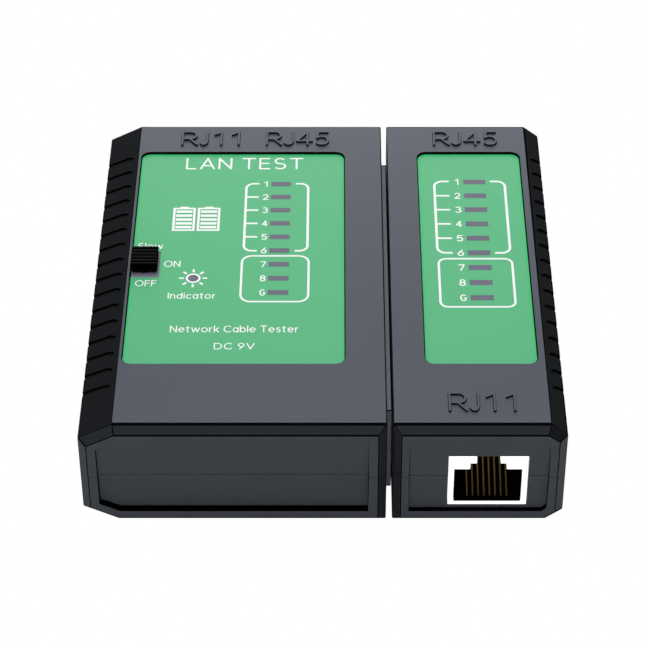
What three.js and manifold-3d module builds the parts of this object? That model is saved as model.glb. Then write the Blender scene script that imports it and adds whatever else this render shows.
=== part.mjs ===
// Two-piece network cable tester: a main unit with a battery, and a remote unit that parks on a rail
// at its side. Millimetres, +X across both units, +Y towards the end with the main unit's jacks, +Z up.
// The origin is on the table, under the middle of the two units.
import * as THREE from 'three';
import Module from 'manifold-3d';
import { mergeVertices } from 'three/addons/utils/BufferGeometryUtils.js';

const wasm = await Module();
wasm.setup();

// ---------------------------------------------------------------- driving dimensions
const LENGTH = 100;
const HEIGHT = 25.3;
const HALF = LENGTH / 2;
const MAIN = { left: -47.2, right: 12.4, cut: { w: 6.8, h: 3.5 }, side: -1, panelDepth: 1.65 };
const REMOTE = { left: 13.6, right: 47.2, cut: { w: 3.3, h: 2.6 }, side: 1, panelDepth: 1.15 };
const END_BEVEL = 1.6;
const SPLIT = 12.6;              // height of the joint line between the two half shells
const SPLIT_GAP = 0.03;
const FLOOR = 2;                 // bottom wall
const ROOF = HEIGHT - 2.3;       // underside of the top wall
const OUTER_WALL = 2.2;          // wall behind the rubber grip
const INNER_WALL = 1.5;          // wall towards the other unit
const CAVITY_END = HALF - 3.4;   // inside face of the end walls
const EXTRA = 1;                 // how far a cutter runs past what it cuts

// slanted panel sunk in each end face
const PANEL = { low: 3.5, high: 21.8, deepHigh: 0.1 };

// label sheet in its recess
const LABEL_TOP = HEIGHT - 0.55;
const LABEL_SHEET = 0.45;
const LABEL_FRONT = -30.85;
const LABEL_BACK = 38.95;
const LABEL_RADIUS = 1.9;
const MAIN_LABEL = { x0: -39.68, x1: 4.3 };
const REMOTE_LABEL = { x0: 20.2, x1: 42.35 };

// rubber grip and its grooves
const GRIP_THICKNESS = 1;
const GRIP_GAP = 0.1;
const GRIP_END = HALF - END_BEVEL - 0.05;
const GROOVE = { count: 16, first: 37.9, pitch: 4.96, width: 1.2, depth: 0.45, lean: 0.55, inset: 1.15 };
const HOOK = { reach: 1.5, drop: 0.65, round: 0.45 };   // the groove's upper end bends towards the front

// parking rail between the units: a pad, a neck and a head on the main unit, a channel in the remote
const RAIL = { front: -41.95, back: 37.65, padLow: 2.5, padHigh: 22.9, padOut: 13.45 };
const NECK = { low: 9, high: 16.3, out: 15.3 };
const HEAD = { low: 7.5, high: 17.8, out: 16.9 };
const RAIL_PLAY = 0.2;
const CHANNEL_LIP = 15.1;
const CHANNEL_BACK = 18.3;

// circuit boards and what stands on them
const BOARD = { low: 18, high: 19.6 };
const STANDOFF = 0.1;            // air between a board and what stands on it or carries it
const TOP_CLEARANCE = 0.2;       // air between the parts on a board and the roof
const LED = {
  window: { x: 4.2, y: 1.5 }, tip: { x: 4, y: 1.35 }, base: { x: 5, y: 2 }, top: LABEL_TOP - 0.1,
};
const MAIN_LEDS = { x: -9.28, first: 28.2, pitch: 4.56 };
const REMOTE_LEDS = { x: 32.25, first: 28.95, pitch: 4.865, scale: 1.12 };
const LED_NAMES = ['1', '2', '3', '4', '5', '6', '7', '8', 'g'];
const INDICATOR = { x: -26.76, y: -3.7, hole: 1.05 };

// three-position slide switch
const SLOT = { x0: -39.66, x1: -33.9, y0: -3.45, y1: 4.95 };
const KNOB = { x: -36.86, y: 1.15, width: 5.25, length: 5.7, low: LABEL_TOP + 0.1, high: 27.1, ridges: 5 };
const RIDGE = { half: 0.3, depth: 0.5 };
const STEM = { width: 1.3, length: 2.6, travel: 1.4 };

// modular jacks: x centre, end of the case they face, and the shape of the mouth
const JACK_FACE = 0.8;           // how far the jack's face lies inside the end of the case
const JACK_LOW = 4.6;
const JACK_HIGH = 17.9;
const JACK_DEPTH = 18;
const RJ45 = { width: 15.4, mouth: 13.3, low: 5.3, shoulder: 14.05, step: 7.1, stepTop: 15.6, slot: 4.6,
  wires: 8, pitch: 1.12 };
const RJ11 = { width: 13.2, mouth: 10.1, low: 6.1, shoulder: 13.1, step: 6.2, stepTop: 14.6, slot: 4,
  wires: 6, pitch: 1.12 };

// 9 V battery lying across the front of the main unit, and its door
const BATTERY = { x0: -39, x1: 6, y: -32.65, z: 11.05, width: 26.5, height: 17.5, corner: 1.8 };
const BAY_WALL = { y0: -18.3, y1: -17.3, notchX: 6.2, notchLow: 6 };
const DOOR = { x0: -39.3, x1: 9, y0: -46.6, y1: -18.8, low: 0.2, high: 1.85, gap: 0.25 };
const TONGUE = { places: [-27, -3.3], half: 4, reach: 1.35, low: 1.25, side: 0.3, front: 0.45 };
const NAIL_NOTCH = { x0: -23.2, x1: -7.1, reach: 3.4, deep: 0.9 };
const DOOR_RIB = { places: [-31, -16, -1], width: 1.2, inset: 6, high: 0.3 };
const DOOR_GRIP = { x0: -21, x1: -9.3, count: 5, pitch: 1.3, width: 0.6, edge: 1.6, deep: 0.35 };

// ---------------------------------------------------------------- materials
const plastic = (color, roughness = 0.5) => (
  new THREE.MeshStandardMaterial({ color, roughness, metalness: 0 }));
const metal = (color) => new THREE.MeshStandardMaterial({ color, roughness: 0.35, metalness: 1 });
const SHELL = plastic(0x4a4d54, 0.55);
const GRIP = plastic(0x1b1c1f, 0.8);
const LABEL = plastic(0x62b985, 0.45);
const BLACK = plastic(0x0c0c0d, 0.6);
const WHITE = plastic(0xf4f4f2, 0.45);
const LENS = plastic(0x746f80, 0.35);
const BOARD_GREEN = plastic(0x1f6b3a, 0.5);
const RED = plastic(0xb01818, 0.5);
const GOLD = metal(0xc9a24a);
const STEEL = metal(0x9a9ca0);
const BATTERY_JACKET = plastic(0x2d3138, 0.4);

// ---------------------------------------------------------------- solids
const tester = new THREE.Group();

function solid(geometry) {
  const bare = geometry.index ? geometry.toNonIndexed() : geometry;
  bare.deleteAttribute('normal');
  bare.deleteAttribute('uv');
  const merged = mergeVertices(bare, 1e-4);
  const mesh = new wasm.Mesh({
    numProp: 3,
    vertProperties: new Float32Array(merged.attributes.position.array),
    triVerts: new Uint32Array(merged.index.array),
  });
  return new wasm.Manifold(mesh);
}

function place(name, shape, material) {
  const mesh = shape.getMesh();
  const geometry = new THREE.BufferGeometry();
  geometry.setAttribute('position', new THREE.BufferAttribute(mesh.vertProperties, 3));
  geometry.setIndex(new THREE.BufferAttribute(mesh.triVerts, 1));
  geometry.computeVertexNormals();
  const piece = new THREE.Mesh(geometry, material);
  piece.name = name;
  tester.add(piece);
}

const join = (shapes) => shapes.reduce((whole, shape) => whole.add(shape));
const cut = (shape, cutters) => cutters.reduce((left, cutter) => left.subtract(cutter), shape);

function box(x0, x1, y0, y1, z0, z1) {
  const geometry = new THREE.BoxGeometry(x1 - x0, y1 - y0, z1 - z0);
  geometry.translate((x0 + x1) / 2, (y0 + y1) / 2, (z0 + z1) / 2);
  return solid(geometry);
}

function cylinder(x, y, radius, z0, z1, sides = 12) {
  const geometry = new THREE.CylinderGeometry(radius, radius, z1 - z0, sides);
  geometry.rotateX(Math.PI / 2);
  geometry.translate(x, y, (z0 + z1) / 2);
  return solid(geometry);
}

const outline = (points) => new THREE.Shape(points.map(([a, b]) => new THREE.Vector2(a, b)));
const extruded = (shape, depth, curveSegments = 3) => (
  new THREE.ExtrudeGeometry(shape, { depth, bevelEnabled: false, curveSegments }));

// an outline in X and Z, carried along Y
function alongY(points, y0, y1) {
  const geometry = extruded(outline(points), y1 - y0);
  geometry.rotateX(Math.PI / 2);
  geometry.translate(0, y1, 0);
  return solid(geometry);
}

// an outline in Y and Z, carried along X
function alongX(points, x0, x1) {
  const geometry = extruded(outline(points), x1 - x0);
  const turn = new THREE.Matrix4().makeBasis(
    new THREE.Vector3(0, 1, 0), new THREE.Vector3(0, 0, 1), new THREE.Vector3(1, 0, 0));
  geometry.applyMatrix4(turn);
  geometry.translate(x0, 0, 0);
  return solid(geometry);
}

function alongZ(shape, z0, z1) {
  const geometry = extruded(shape, z1 - z0);
  geometry.translate(0, 0, z0);
  return solid(geometry);
}

function roundedRectangle(x0, x1, y0, y1, r) {
  const shape = new THREE.Shape();
  shape.absarc(x1 - r, y0 + r, r, -Math.PI / 2, 0);
  shape.absarc(x1 - r, y1 - r, r, 0, Math.PI / 2);
  shape.absarc(x0 + r, y1 - r, r, Math.PI / 2, Math.PI);
  shape.absarc(x0 + r, y0 + r, r, Math.PI, Math.PI * 1.5);
  return shape;
}

// turn an outline drawn for the -Y end so that it serves the end that `end` (-1 or 1) names
const mirrorY = (shape, end) => (end < 0 ? shape : shape.mirror([0, 1, 0]));

// ---------------------------------------------------------------- case sections
// rectangle with its two outer corners cut off; `side` says which side is the outer one
function caseSection(x0, x1, z0, z1, cutOff, side) {
  const outer = side < 0 ? x0 : x1;
  const inner = side < 0 ? x1 : x0;
  const shoulder = outer - side * cutOff.w;
  const points = [
    [inner, z0], [shoulder, z0], [outer, z0 + cutOff.h],
    [outer, z1 - cutOff.h], [shoulder, z1], [inner, z1],
  ];
  return side < 0 ? points.reverse() : points;
}

// the corner cut of a wall line that runs `wall` inside the outside, at the same slope
function insetCut({ w, h }, wall) {
  const slope = Math.hypot(w, h);
  return { w: w + wall * (slope - w) / h - wall, h: h + wall * (slope - h) / w - wall };
}

function outerBody(unit) {
  const points = caseSection(unit.left, unit.right, 0, HEIGHT, unit.cut, unit.side);
  const geometry = new THREE.ExtrudeGeometry(outline(points), {
    depth: LENGTH - 2 * END_BEVEL, bevelEnabled: true, bevelThickness: END_BEVEL,
    bevelSize: END_BEVEL, bevelOffset: -END_BEVEL, bevelSegments: 1,
  });
  geometry.rotateX(Math.PI / 2);
  geometry.translate(0, HALF - END_BEVEL, 0);
  return solid(geometry);
}

function mainCavity() {
  const inner = insetCut(MAIN.cut, OUTER_WALL);
  const points = caseSection(MAIN.left + OUTER_WALL, MAIN.right - INNER_WALL, FLOOR, ROOF, inner, -1);
  return alongY(points, -CAVITY_END, CAVITY_END);
}

// the remote's cavity steps back behind the rail channel
function remoteCavity() {
  const inner = insetCut(REMOTE.cut, OUTER_WALL);
  const right = REMOTE.right - OUTER_WALL;
  const points = caseSection(CHANNEL_BACK, right, FLOOR, ROOF, inner, 1);
  const low = box(CHANNEL_LIP, CHANNEL_BACK + EXTRA, -CAVITY_END, CAVITY_END, FLOOR, HEAD.low - 1.6);
  const high = box(CHANNEL_LIP, CHANNEL_BACK + EXTRA, -CAVITY_END, CAVITY_END, HEAD.high + 1.6, ROOF);
  return join([alongY(points, -CAVITY_END, CAVITY_END), low, high]);
}

// wedge-shaped sinking of the end panel, deepest along its lower edge
function endPanelCutter(points, depth, end) {
  const slab = alongY(points, -HALF - EXTRA, -HALF + 2 * EXTRA);
  const wedge = alongX([
    [-HALF - 2 * EXTRA, PANEL.low - EXTRA], [-HALF + depth, PANEL.low],
    [-HALF + PANEL.deepHigh, PANEL.high], [-HALF - 2 * EXTRA, PANEL.high + EXTRA],
  ], MAIN.left, REMOTE.right);
  return mirrorY(slab.intersect(wedge), end);
}

const endPanelCutters = (points, depth) => [-1, 1].map((end) => endPanelCutter(points, depth, end));

const MAIN_PANEL = [
  [8.85, PANEL.high], [-39.8, PANEL.high], [-43.7, PANEL.high - 2],
  [-43.7, PANEL.low + 2], [-39.8, PANEL.low], [8.85, PANEL.low],
];
const REMOTE_PANEL = [
  [16.8, PANEL.low], [42.9, PANEL.low], [43.85, PANEL.low + 0.95],
  [43.85, PANEL.high - 0.95], [42.9, PANEL.high], [16.8, PANEL.high],
];

// ---------------------------------------------------------------- rubber side grips
// channel section of even thickness over both cut corners and the side between them
function gripSection(unit, thickness) {
  const { w, h } = unit.cut;
  const slope = Math.hypot(w, h);
  const outer = unit.side < 0 ? unit.left : unit.right;
  const x = (inward) => outer - unit.side * inward;
  const innerCorner = h + thickness * (slope - h) / w;
  const rise = thickness * slope / w;
  const points = [
    [x(w), 0], [x(0), h], [x(0), HEIGHT - h], [x(w), HEIGHT],
    [x(w), HEIGHT - rise], [x(thickness), HEIGHT - innerCorner], [x(thickness), innerCorner], [x(w), rise],
  ];
  return unit.side < 0 ? points.reverse() : points;
}

// the recess in the shells is the same section, a little larger all round
function gripPocket(unit) {
  const { w, h } = unit.cut;
  const outer = unit.side < 0 ? unit.left : unit.right;
  const x = (inward) => outer - unit.side * inward;
  const depth = GRIP_THICKNESS + GRIP_GAP;
  const slope = Math.hypot(w, h);
  const reach = w + GRIP_GAP / 2;
  const innerCorner = h + depth * (slope - h) / w;
  const rise = depth * slope / w - GRIP_GAP * h / w / 2;
  const points = [
    [x(reach), -EXTRA], [x(-EXTRA), -EXTRA], [x(-EXTRA), HEIGHT + EXTRA], [x(reach), HEIGHT + EXTRA],
    [x(reach), HEIGHT - rise], [x(depth), HEIGHT - innerCorner], [x(depth), innerCorner], [x(reach), rise],
  ];
  const end = GRIP_END + GRIP_GAP / 2;
  return alongY(unit.side < 0 ? points.reverse() : points, -end, end);
}

// one groove: starts with a bent round end near the top face and leans back on its way over the side
function grooveCutter(unit, index) {
  const { w, h } = unit.cut;
  const slope = Math.hypot(w, h);
  const r = GROOVE.width / 2;
  const shape = new THREE.Shape();
  const bend = GROOVE.inset + HOOK.reach;
  shape.moveTo(bend, -r);
  shape.lineTo(slope + EXTRA, -r + GROOVE.lean);
  shape.lineTo(slope + EXTRA, r + GROOVE.lean);
  shape.lineTo(bend - HOOK.round / 2, r);
  shape.lineTo(GROOVE.inset + HOOK.round / 2, r - HOOK.drop);
  shape.quadraticCurveTo(
    GROOVE.inset - HOOK.round, -HOOK.drop, GROOVE.inset + HOOK.round, -r - HOOK.drop);
  const geometry = extruded(shape, GROOVE.depth + EXTRA);
  const outer = unit.side < 0 ? unit.left : unit.right;
  const down = new THREE.Vector3(unit.side * w, 0, -h).divideScalar(slope);
  const back = new THREE.Vector3(0, 1, 0);
  const out = new THREE.Vector3().crossVectors(down, back);
  if (out.z < 0) out.negate();
  const turn = new THREE.Matrix4().makeBasis(down, back, out);
  const start = new THREE.Vector3(outer - unit.side * w, GROOVE.first - index * GROOVE.pitch, HEIGHT);
  turn.setPosition(start.addScaledVector(out, -GROOVE.depth));
  geometry.applyMatrix4(turn);
  if (turn.determinant() < 0) turnInsideOut(geometry);
  return solid(geometry);
}

function turnInsideOut(geometry) {
  const position = geometry.attributes.position;
  for (let i = 0; i < position.count; i += 3) {
    const second = new THREE.Vector3().fromBufferAttribute(position, i + 1);
    const third = new THREE.Vector3().fromBufferAttribute(position, i + 2);
    position.setXYZ(i + 1, third.x, third.y, third.z);
    position.setXYZ(i + 2, second.x, second.y, second.z);
  }
}

function sideGrip(unit) {
  const body = alongY(gripSection(unit, GRIP_THICKNESS), -GRIP_END, GRIP_END);
  const cutters = [];
  for (let i = 0; i < GROOVE.count; i += 1) {
    const upper = grooveCutter(unit, i);
    const y = GROOVE.first - i * GROOVE.pitch + GROOVE.lean;
    const outer = unit.side < 0 ? unit.left : unit.right;
    const inner = outer - unit.side * GROOVE.depth;
    const side = box(
      Math.min(inner, outer + unit.side * EXTRA), Math.max(inner, outer + unit.side * EXTRA),
      y - GROOVE.width / 2, y + GROOVE.width / 2, unit.cut.h, HEIGHT - unit.cut.h);
    const lower = upper.mirror([0, 0, 1]).translate([0, 0, HEIGHT]);
    cutters.push(upper, side, lower);
  }
  return cut(body, cutters);
}

// ---------------------------------------------------------------- openings in the top
function ledPlaces(row) {
  const { x, first, pitch, scale = 1 } = row;
  return LED_NAMES.map((name, i) => ({ name, x, y: first - i * pitch, scale }));
}

function ledHoles(row, margin, z0, z1) {
  return ledPlaces(row).map(({ x, y, scale }) => {
    const a = (LED.window.x * scale) / 2 + margin;
    const b = (LED.window.y * Math.sqrt(scale)) / 2 + margin;
    return box(x - a, x + a, y - b, y + b, z0, z1);
  });
}

function labelShape(place, inset) {
  return roundedRectangle(
    place.x0 + inset, place.x1 - inset, LABEL_FRONT + inset, LABEL_BACK - inset, LABEL_RADIUS - inset);
}

const LABEL_FLOOR = LABEL_TOP - LABEL_SHEET;
const labelRecess = (where) => alongZ(labelShape(where, 0), LABEL_FLOOR - 0.02, HEIGHT + EXTRA);
const switchHole = (margin, z0, z1) => box(
  SLOT.x0 - margin, SLOT.x1 + margin, SLOT.y0 - margin, SLOT.y1 + margin, z0, z1);
const indicatorHole = (margin, z0, z1) => cylinder(
  INDICATOR.x, INDICATOR.y, INDICATOR.hole + margin, z0, z1, 20);

function mainLabel() {
  const z1 = LABEL_TOP + EXTRA;
  const z0 = LABEL_FLOOR - EXTRA;
  const sheet = alongZ(labelShape(MAIN_LABEL, 0.06), LABEL_FLOOR, LABEL_TOP);
  // the switch stands at the sheet's edge, so its opening is a notch
  const notch = box(MAIN_LABEL.x0 - EXTRA, SLOT.x1, SLOT.y0, SLOT.y1, z0, z1);
  return cut(sheet, [...ledHoles(MAIN_LEDS, 0, z0, z1), notch, indicatorHole(0, z0, z1)]);
}

function remoteLabel() {
  const sheet = alongZ(labelShape(REMOTE_LABEL, 0.06), LABEL_FLOOR, LABEL_TOP);
  return cut(sheet, ledHoles(REMOTE_LEDS, 0, LABEL_FLOOR - EXTRA, LABEL_TOP + EXTRA));
}

// ---------------------------------------------------------------- jacks
const JACKS = [
  { name: 'main_rj45', x: -5.9, end: 1, type: RJ45 },
  { name: 'main_rj11', x: -24.9, end: 1, type: RJ11 },
  { name: 'remote_rear', x: 32.15, end: 1, type: RJ45 },
  { name: 'remote_front', x: 32.15, end: -1, type: RJ45 },
];
const FACE_Y = -HALF + JACK_FACE;
const MOUTH_DEPTH = 15;
const LATCH_DEPTH = 6;
const INSERT_BACK = FACE_Y + MOUTH_DEPTH;

// stepped mouth with the latch slot at the top, drawn for a jack at x = 0
function mouthOutline(type, inset, top) {
  const half = type.mouth / 2 - inset;
  const step = type.step / 2 - inset;
  const slot = type.slot / 2 - inset;
  const low = type.low + inset;
  const shoulder = type.shoulder - inset;
  const stepTop = type.stepTop - inset;
  return [
    [-half, low], [half, low], [half, shoulder], [step, shoulder], [step, stepTop],
    [slot, stepTop], [slot, top], [-slot, top], [-slot, stepTop], [-step, stepTop],
    [-step, shoulder], [-half, shoulder],
  ];
}

function jackHousing(type) {
  const half = type.width / 2;
  const block = box(-half, half, FACE_Y, FACE_Y + JACK_DEPTH, JACK_LOW, JACK_HIGH);
  const mouth = alongY(mouthOutline(type, 0, JACK_HIGH - 0.9), FACE_Y - EXTRA, INSERT_BACK);
  const latch = box(
    -type.slot / 2, type.slot / 2, FACE_Y - EXTRA, FACE_Y + LATCH_DEPTH, type.stepTop, JACK_HIGH + EXTRA);
  return cut(block, [mouth, latch]);
}

// black liner: floor, side walls and back wall of the mouth, with a groove for each wire
const INSERT_WALL = 0.55;
const INSERT_FRONT = FACE_Y + 0.15;
const LINER = {
  fit: 0.08, floor: 0.9, back: 1, railFloor: 0.35, railSide: 0.5, slotHalf: 0.35, slotLow: 3, slotHigh: 7,
};
function jackInsert(type) {
  const { fit } = LINER;
  const outer = alongY(mouthOutline(type, fit, JACK_HIGH - 1), INSERT_FRONT, INSERT_BACK - fit);
  const half = type.mouth / 2 - fit - INSERT_WALL;
  const back = INSERT_BACK - LINER.back;
  const room = box(-half, half, FACE_Y - EXTRA, back, type.low + LINER.floor, JACK_HIGH + EXTRA);
  const reach = wireSpan(type) / 2 + LINER.railSide;
  const rail = box(-reach, reach, FACE_Y + LINER.floor, back, type.low + LINER.railFloor, JACK_HIGH);
  const slots = wirePlaces(type).map((x) => box(
    x - LINER.slotHalf, x + LINER.slotHalf, back - EXTRA / 2, INSERT_BACK + EXTRA,
    type.low + LINER.slotLow, type.low + LINER.slotHigh));
  return cut(outer, [room, rail, ...slots]);
}

const wireSpan = (type) => (type.wires - 1) * type.pitch;
const wirePlaces = (type) => (
  Array.from({ length: type.wires }, (_, i) => i * type.pitch - wireSpan(type) / 2));

// spring wires: a flat tie strip on the floor at the front, wires that rise towards the back
const WIRE = { width: 0.5, thick: 0.35 };
function jackContacts(type) {
  const y0 = FACE_Y + 1.15;
  const z0 = type.low + 0.42;
  const y1 = INSERT_BACK - 0.6;
  const z1 = type.low + 4.2;
  const t = WIRE.thick;
  const side = [[y0, z0], [y0 + 1, z0], [y1, z1], [y1, z1 + t], [y0 + 0.9, z0 + t], [y0, z0 + t]];
  const wires = wirePlaces(type).map((x) => alongX(side, x - WIRE.width / 2, x + WIRE.width / 2));
  const half = wireSpan(type) / 2 + WIRE.width / 2;
  return join([box(-half, half, y0, y0 + 0.4, z0, z0 + t * 0.6), ...wires]);
}

function buildJacks() {
  for (const jack of JACKS) {
    const put = (shape) => mirrorY(shape, jack.end).translate([jack.x, 0, 0]);
    place(`${jack.name}_jack_housing`, put(jackHousing(jack.type)), WHITE);
    place(`${jack.name}_jack_insert`, put(jackInsert(jack.type)), BLACK);
    place(`${jack.name}_jack_contacts`, put(jackContacts(jack.type)), GOLD);
  }
}

function jackPorts(prefix) {
  return JACKS.filter((jack) => jack.name.startsWith(prefix)).map((jack) => {
    const half = jack.type.width / 2 + 0.12;
    const port = box(
      jack.x - half, jack.x + half, -HALF - EXTRA, -CAVITY_END + EXTRA, JACK_LOW - 0.12, JACK_HIGH + 0.12);
    return mirrorY(port, jack.end);
  });
}

// ---------------------------------------------------------------- screws and their bosses
const SCREWS = {
  main: [[-36.5, -11], [6.7, -8], [-36.4, 41], [6.7, 41]],
  remote: [[23.2, 24], [40.6, -24]],
};
const SCREW = { head: 2.4, headLow: 0.7, headHigh: 2.35, shank: 1.15, tip: 17.2 };
const CROSS = { arm: 1.3, half: 0.28, deep: 0.8 };
const BOSS = { low: 3.3, high: 2.9, sink: 2.7, seat: 2.4, clear: 1.45, pilot: 1.3 };

const columns = (list, radius, z0, z1) => list.map(([x, y]) => cylinder(x, y, radius, z0, z1));
const lowerBosses = (list) => columns(list, BOSS.low, FLOOR - EXTRA, SPLIT - SPLIT_GAP / 2);
const upperBosses = (list) => columns(list, BOSS.high, SPLIT + SPLIT_GAP / 2, ROOF + EXTRA);
const lowerBossHoles = (list) => list.flatMap(([x, y]) => [
  cylinder(x, y, BOSS.sink, -EXTRA, BOSS.seat),
  cylinder(x, y, BOSS.clear, 0, SPLIT + EXTRA),
]);
const upperBossHoles = (list) => columns(list, BOSS.pilot, SPLIT - EXTRA, SCREW.tip + 0.6);

function screw(x, y) {
  const head = cylinder(x, y, SCREW.head, SCREW.headLow, SCREW.headHigh, 20);
  const shank = cylinder(x, y, SCREW.shank, SCREW.headHigh - 0.2, SCREW.tip, 8);
  const { arm, half, deep } = CROSS;
  const cross = [
    box(x - arm, x + arm, y - half, y + half, 0, SCREW.headLow + deep),
    box(x - half, x + half, y - arm, y + arm, 0, SCREW.headLow + deep),
  ];
  return cut(join([head, shank]), cross);
}

function buildScrews() {
  for (const [unit, list] of Object.entries(SCREWS)) {
    list.forEach(([x, y], i) => place(`${unit}_case_screw_${i + 1}`, screw(x, y), STEEL));
  }
}

// ---------------------------------------------------------------- rail and channel
function railTongue() {
  const wall = MAIN.right - 0.5;
  const pad = box(wall, RAIL.padOut, RAIL.front, RAIL.back, RAIL.padLow, RAIL.padHigh);
  const neck = box(wall, NECK.out, RAIL.front + 0.4, RAIL.back - 0.4, NECK.low, NECK.high);
  const head = box(NECK.out, HEAD.out, RAIL.front + 0.4, RAIL.back - 0.4, HEAD.low, HEAD.high);
  return join([pad, neck, head]);
}

function railChannel() {
  const y0 = RAIL.front - 0.1;
  const y1 = HALF + EXTRA;
  const mouth = box(
    REMOTE.left - EXTRA, CHANNEL_LIP + EXTRA, y0, y1, NECK.low - RAIL_PLAY, NECK.high + RAIL_PLAY);
  const room = box(
    CHANNEL_LIP, HEAD.out + RAIL_PLAY, y0, y1, HEAD.low - RAIL_PLAY, HEAD.high + RAIL_PLAY);
  return join([mouth, room]);
}

// ---------------------------------------------------------------- shells
const aboveSplit = () => box(-LENGTH, LENGTH, -LENGTH, LENGTH, SPLIT + SPLIT_GAP / 2, HEIGHT + 10);
const belowSplit = () => box(-LENGTH, LENGTH, -LENGTH, LENGTH, -10, SPLIT - SPLIT_GAP / 2);

function hollowMain() {
  return cut(outerBody(MAIN), [
    mainCavity(), gripPocket(MAIN),
    ...endPanelCutters(MAIN_PANEL.toReversed(), MAIN.panelDepth),
    ...jackPorts('main'),
  ]).add(railTongue());
}

function hollowRemote() {
  return cut(outerBody(REMOTE), [
    remoteCavity(), gripPocket(REMOTE), railChannel(),
    ...endPanelCutters(REMOTE_PANEL, REMOTE.panelDepth),
    ...jackPorts('remote'),
  ]);
}

function mainTopShell(hollow) {
  const z0 = ROOF - EXTRA;
  const z1 = HEIGHT + EXTRA;
  const cutters = [
    labelRecess(MAIN_LABEL), ...ledHoles(MAIN_LEDS, 0.1, z0, z1), switchHole(0.1, z0, z1),
    indicatorHole(0.3, z0, z1), ...upperBossHoles(SCREWS.main),
  ];
  return cut(join([hollow.intersect(aboveSplit()), ...upperBosses(SCREWS.main)]), cutters);
}

function remoteTopShell(hollow) {
  const cutters = [
    labelRecess(REMOTE_LABEL), ...ledHoles(REMOTE_LEDS, 0.1, ROOF - EXTRA, HEIGHT + EXTRA),
    ...upperBossHoles(SCREWS.remote),
  ];
  return cut(join([hollow.intersect(aboveSplit()), ...upperBosses(SCREWS.remote)]), cutters);
}

// posts that carry a circuit board from below
const POST_RADIUS = 2;
const POSTS = {
  main: [[-12, 25], [-12, -12], [-38.2, 22]],
  remote: [[40.6, 20], [22.5, -20]],
};
const posts = (list) => columns(list, POST_RADIUS, FLOOR - EXTRA, BOARD.low - STANDOFF);

function doorOpening() {
  const { x0, x1, y0, y1, gap } = DOOR;
  const through = box(x0 - gap, x1 + gap, y0 - gap, y1 + gap, -EXTRA, FLOOR + EXTRA);
  const wide = TONGUE.half + TONGUE.side;
  const pockets = TONGUE.places.map((x) => box(
    x - wide, x + wide, y0 - TONGUE.reach - TONGUE.front, y0, TONGUE.low - gap, FLOOR + 2 * TONGUE.side));
  const { x0: n0, x1: n1, reach, deep } = NAIL_NOTCH;
  return [through, ...pockets, box(n0, n1, y1 - EXTRA, y1 + reach, -EXTRA, deep)];
}

function mainBottomShell(hollow) {
  const wall = box(
    MAIN.left + 2, MAIN.right - 1.2, BAY_WALL.y0, BAY_WALL.y1, FLOOR - 0.5, SPLIT - SPLIT_GAP / 2);
  const notch = box(BAY_WALL.notchX, MAIN.right - INNER_WALL, BAY_WALL.y0 - EXTRA, BAY_WALL.y1 + EXTRA,
    BAY_WALL.notchLow, SPLIT + EXTRA);
  const inside = wall.intersect(outerBody(MAIN).subtract(gripPocket(MAIN)));
  const half = join([hollow.intersect(belowSplit()), inside, ...lowerBosses(SCREWS.main),
    ...posts(POSTS.main)]);
  return cut(half, [notch, ...doorOpening(), ...lowerBossHoles(SCREWS.main)]);
}

function remoteBottomShell(hollow) {
  const half = join([hollow.intersect(belowSplit()), ...lowerBosses(SCREWS.remote),
    ...posts(POSTS.remote)]);
  return cut(half, lowerBossHoles(SCREWS.remote));
}

function buildShells() {
  const main = hollowMain();
  const remote = hollowRemote();
  place('main_top_shell', mainTopShell(main), SHELL);
  place('main_bottom_shell', mainBottomShell(main), SHELL);
  place('main_side_grip', sideGrip(MAIN), GRIP);
  place('main_label_panel', mainLabel(), LABEL);
  place('remote_top_shell', remoteTopShell(remote), SHELL);
  place('remote_bottom_shell', remoteBottomShell(remote), SHELL);
  place('remote_side_grip', sideGrip(REMOTE), GRIP);
  place('remote_label_panel', remoteLabel(), LABEL);
}

// ---------------------------------------------------------------- battery door
// a plate with two tongues that tuck over the front lip; it tilts out about its front lower edge
function batteryDoor() {
  const { x0, x1, y0, y1, low, high } = DOOR;
  const plate = box(x0, x1, y0, y1, low, high);
  const tongues = TONGUE.places.map((x) => box(
    x - TONGUE.half, x + TONGUE.half, y0 - TONGUE.reach, y0 + TONGUE.front, TONGUE.low, high));
  const ribs = DOOR_RIB.places.map((x) => box(
    x, x + DOOR_RIB.width, y0 + DOOR_RIB.inset, y1 - DOOR_RIB.inset,
    high - DOOR_RIB.high, high + DOOR_RIB.high));
  const grip = Array.from({ length: DOOR_GRIP.count }, (_, i) => {
    const back = y1 - DOOR_GRIP.edge - i * DOOR_GRIP.pitch;
    return box(DOOR_GRIP.x0, DOOR_GRIP.x1, back - DOOR_GRIP.width, back, -EXTRA, low + DOOR_GRIP.deep);
  });
  return cut(join([plate, ...tongues, ...ribs]), grip);
}

// ---------------------------------------------------------------- battery, connector and leads
const STUD_OFFSET = 6.35;
const STUD_END = 8.4;
const STUDS = [{ y: -STUD_OFFSET, radius: 2.9, hole: 3.15 }, { y: STUD_OFFSET, radius: 4, hole: 4.25 }];
const SNAP = { gap: 0.3, thick: 4.2, halfWidth: 12.7, halfHeight: 6.2 };
function stud(y, radius, x0, x1) {
  const geometry = new THREE.CylinderGeometry(radius, radius, x1 - x0, 20);
  geometry.rotateZ(Math.PI / 2);
  geometry.translate((x0 + x1) / 2, y, BATTERY.z);
  return solid(geometry);
}

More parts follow.
